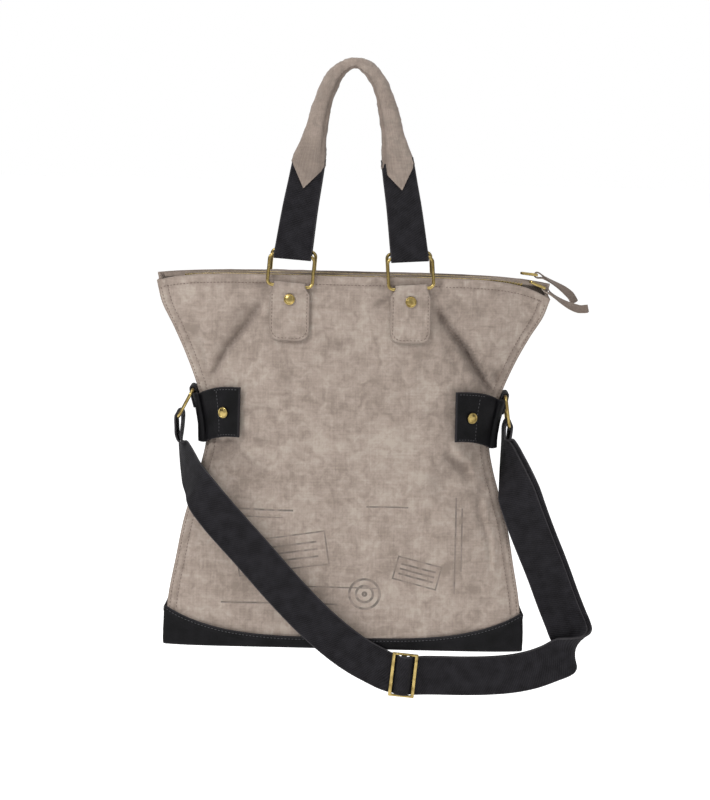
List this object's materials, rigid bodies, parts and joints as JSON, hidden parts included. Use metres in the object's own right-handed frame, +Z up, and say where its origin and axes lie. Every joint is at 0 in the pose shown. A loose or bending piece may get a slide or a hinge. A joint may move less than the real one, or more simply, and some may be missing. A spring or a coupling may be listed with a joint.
{
  "type": "yoga mat bag",
  "caption": "Canvas tote with leather foot, waist bands, rolled grips on brass rings, twin zips, a long shoulder strap and an open sleeve for a rolled mat at the back.",
  "frame": {"origin": "the hanging point, under the top of the grips", "axes": "+Z up, -Y the front of the bag, +X its right seen from the front"},
  "size_m": [0.4288, 0.2371, 0.6093],
  "materials": {
    "canvas": "washed cotton canvas",
    "leather": "smooth, slightly worn",
    "webbing": "woven webbing",
    "brass": "brushed, aged",
    "zip": "zip tape and teeth"
  },
  "bodies": {
    "root": {"front_panel": "canvas", "back_panel": "canvas", "gusset_left": "canvas", "gusset_right": "canvas", "divider": "canvas", "mat_sleeve": "canvas", "grip_front": "canvas", "grip_rear": "canvas", "zip_pull_front": "canvas", "zip_pull_rear": "canvas", "ring_tab_front_left": "canvas", "ring_tab_front_right": "canvas", "ring_tab_rear_left": "canvas", "ring_tab_rear_right": "canvas", "boot_wall": "leather", "base_panel": "leather", "side_tab_left": "leather", "side_tab_right": "leather", "ring_keeper_left": "leather", "ring_keeper_right": "leather", "webbing_front_left": "webbing", "webbing_front_right": "webbing", "webbing_rear_left": "webbing", "webbing_rear_right": "webbing", "shoulder_strap": "webbing", "ring_front_left": "brass", "ring_front_right": "brass", "ring_rear_left": "brass", "ring_rear_right": "brass", "ring_rivet_front_left": "brass", "ring_rivet_front_right": "brass", "ring_rivet_rear_left": "brass", "ring_rivet_rear_right": "brass", "side_rivet_front_left": "brass", "side_rivet_front_right": "brass", "side_rivet_rear_left": "brass", "side_rivet_rear_right": "brass", "side_ring_left": "brass", "side_ring_right": "brass", "strap_slider": "brass", "zip_slider_front": "brass", "zip_slider_rear": "brass", "zip_tape_front": "zip", "zip_tape_rear": "zip", "zip_chain_front": "zip", "zip_chain_rear": "zip"}
  },
  "joints": []
}
